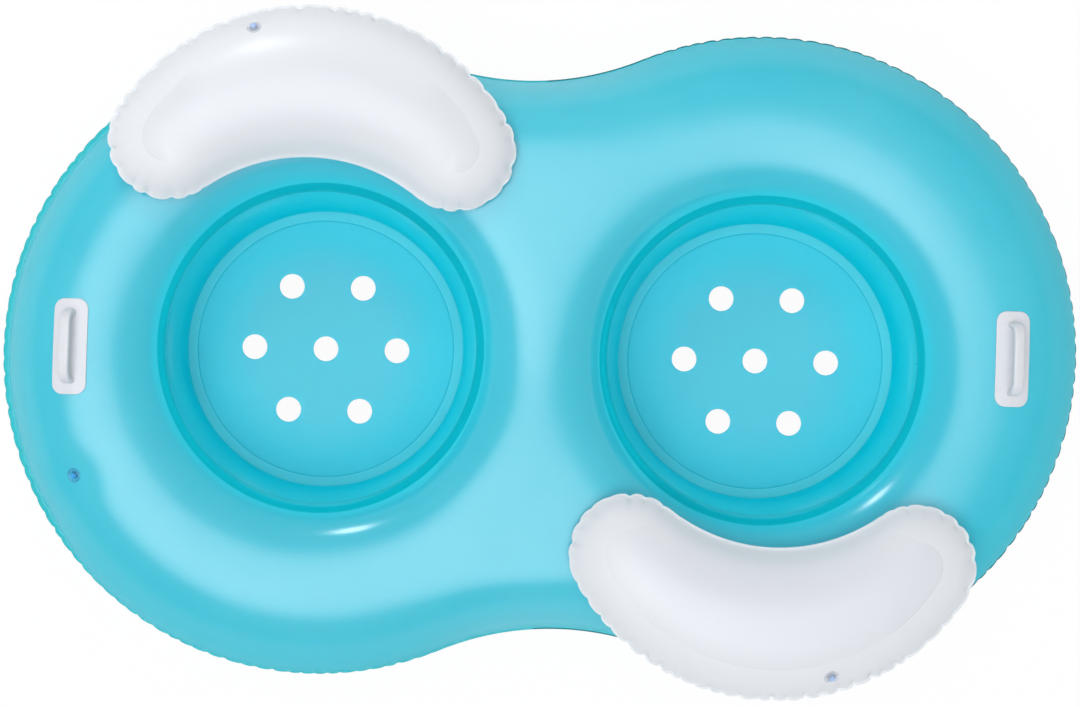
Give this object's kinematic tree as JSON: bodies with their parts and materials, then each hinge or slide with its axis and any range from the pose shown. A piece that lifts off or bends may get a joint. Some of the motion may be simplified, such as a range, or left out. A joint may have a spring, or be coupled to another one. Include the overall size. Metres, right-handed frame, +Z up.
{
  "type": "inflatable two-seat pool raft",
  "caption": "Inflatable teal pool raft with round wells side by side, crescent backrest pillows, grab handles, drained well floors and push-in valves.",
  "frame": {"origin": "centre of the footprint, on the plane that the raft rests on", "axes": "+X along the raft's length, from the left well to the right one; +Y across it, towards the left seat's pillow; +Z up"},
  "size_m": [1.888, 1.1632, 0.3931],
  "materials": {
    "teal_vinyl": "glossy soft vinyl sheet",
    "wall_vinyl": "glossy soft vinyl sheet, deeper teal",
    "floor_vinyl": "smooth semi-matt vinyl sheet",
    "white_vinyl": "glossy white vinyl sheet",
    "handle_white": "satin moulded vinyl",
    "valve_clear": "soft pale blue moulded vinyl"
  },
  "bodies": {
    "raft": {"top_sheet": "teal_vinyl", "bottom_sheet": "teal_vinyl", "well_wall_left": "wall_vinyl", "well_wall_right": "wall_vinyl", "well_floor_left": "floor_vinyl", "well_floor_right": "floor_vinyl", "pillow_top_left": "white_vinyl", "pillow_bottom_left": "white_vinyl", "pillow_top_right": "white_vinyl", "pillow_bottom_right": "white_vinyl", "handle_left": "handle_white", "handle_right": "handle_white", "body_valve_base": "valve_clear", "pillow_valve_left_base": "valve_clear", "pillow_valve_right_base": "valve_clear"},
    "body_valve_stem_body": {"body_valve_stem": "valve_clear"},
    "body_valve_cap_body": {"body_valve_cap": "valve_clear"},
    "body_valve_flap_body": {"body_valve_flap": "valve_clear"},
    "pillow_valve_left_stem_body": {"pillow_valve_left_stem": "valve_clear"},
    "pillow_valve_left_cap_body": {"pillow_valve_left_cap": "valve_clear"},
    "pillow_valve_left_flap_body": {"pillow_valve_left_flap": "valve_clear"},
    "pillow_valve_right_stem_body": {"pillow_valve_right_stem": "valve_clear"},
    "pillow_valve_right_cap_body": {"pillow_valve_right_cap": "valve_clear"},
    "pillow_valve_right_flap_body": {"pillow_valve_right_flap": "valve_clear"}
  },
  "joints": [
    {"name": "body_valve_stem_slide", "type": "slide", "parent": "raft", "child": "body_valve_stem_body", "axis": [-0.4171, -0.2458, 0.875], "range_m": [0, 0.01]},
    {"name": "body_valve_cap_hinge", "type": "hinge", "parent": "body_valve_stem_body", "child": "body_valve_cap_body", "pos_m": [-0.7906, -0.2331, 0.28651], "axis": [-0.1058, 0.9693, 0.2219], "range_deg": [0, 150]},
    {"name": "body_valve_flap_hinge", "type": "hinge", "parent": "body_valve_stem_body", "child": "body_valve_flap_body", "pos_m": [-0.7828, -0.22743, 0.26549], "axis": [0.1058, -0.9693, -0.2219], "range_deg": [0, 70], "stiffness_Nm_per_rad": 0.0002, "springref_deg": -17.19},
    {"name": "pillow_valve_left_stem_slide", "type": "slide", "parent": "raft", "child": "pillow_valve_left_stem_body", "axis": [-0.1638, 0.6426, 0.7485], "range_m": [0, 0.01]},
    {"name": "pillow_valve_left_cap_hinge", "type": "hinge", "parent": "pillow_valve_left_stem_body", "child": "pillow_valve_left_cap_body", "pos_m": [-0.50452, 0.53298, 0.37113], "axis": [0.9865, 0.1067, 0.1243], "range_deg": [0, 150]},
    {"name": "pillow_valve_left_flap_hinge", "type": "hinge", "parent": "pillow_valve_left_stem_body", "child": "pillow_valve_left_flap_body", "pos_m": [-0.50074, 0.51968, 0.35257], "axis": [-0.9865, -0.1067, -0.1243], "range_deg": [0, 70], "stiffness_Nm_per_rad": 0.0002, "springref_deg": -17.19},
    {"name": "pillow_valve_right_stem_slide", "type": "slide", "parent": "raft", "child": "pillow_valve_right_stem_body", "axis": [0.1638, -0.6426, 0.7485], "range_m": [0, 0.01]},
    {"name": "pillow_valve_right_cap_hinge", "type": "hinge", "parent": "pillow_valve_right_stem_body", "child": "pillow_valve_right_cap_body", "pos_m": [0.50452, -0.53298, 0.37113], "axis": [-0.9865, -0.1067, 0.1243], "range_deg": [0, 150]},
    {"name": "pillow_valve_right_flap_hinge", "type": "hinge", "parent": "pillow_valve_right_stem_body", "child": "pillow_valve_right_flap_body", "pos_m": [0.50074, -0.51968, 0.35257], "axis": [0.9865, 0.1067, -0.1243], "range_deg": [0, 70], "stiffness_Nm_per_rad": 0.0002, "springref_deg": -17.19}
  ]
}
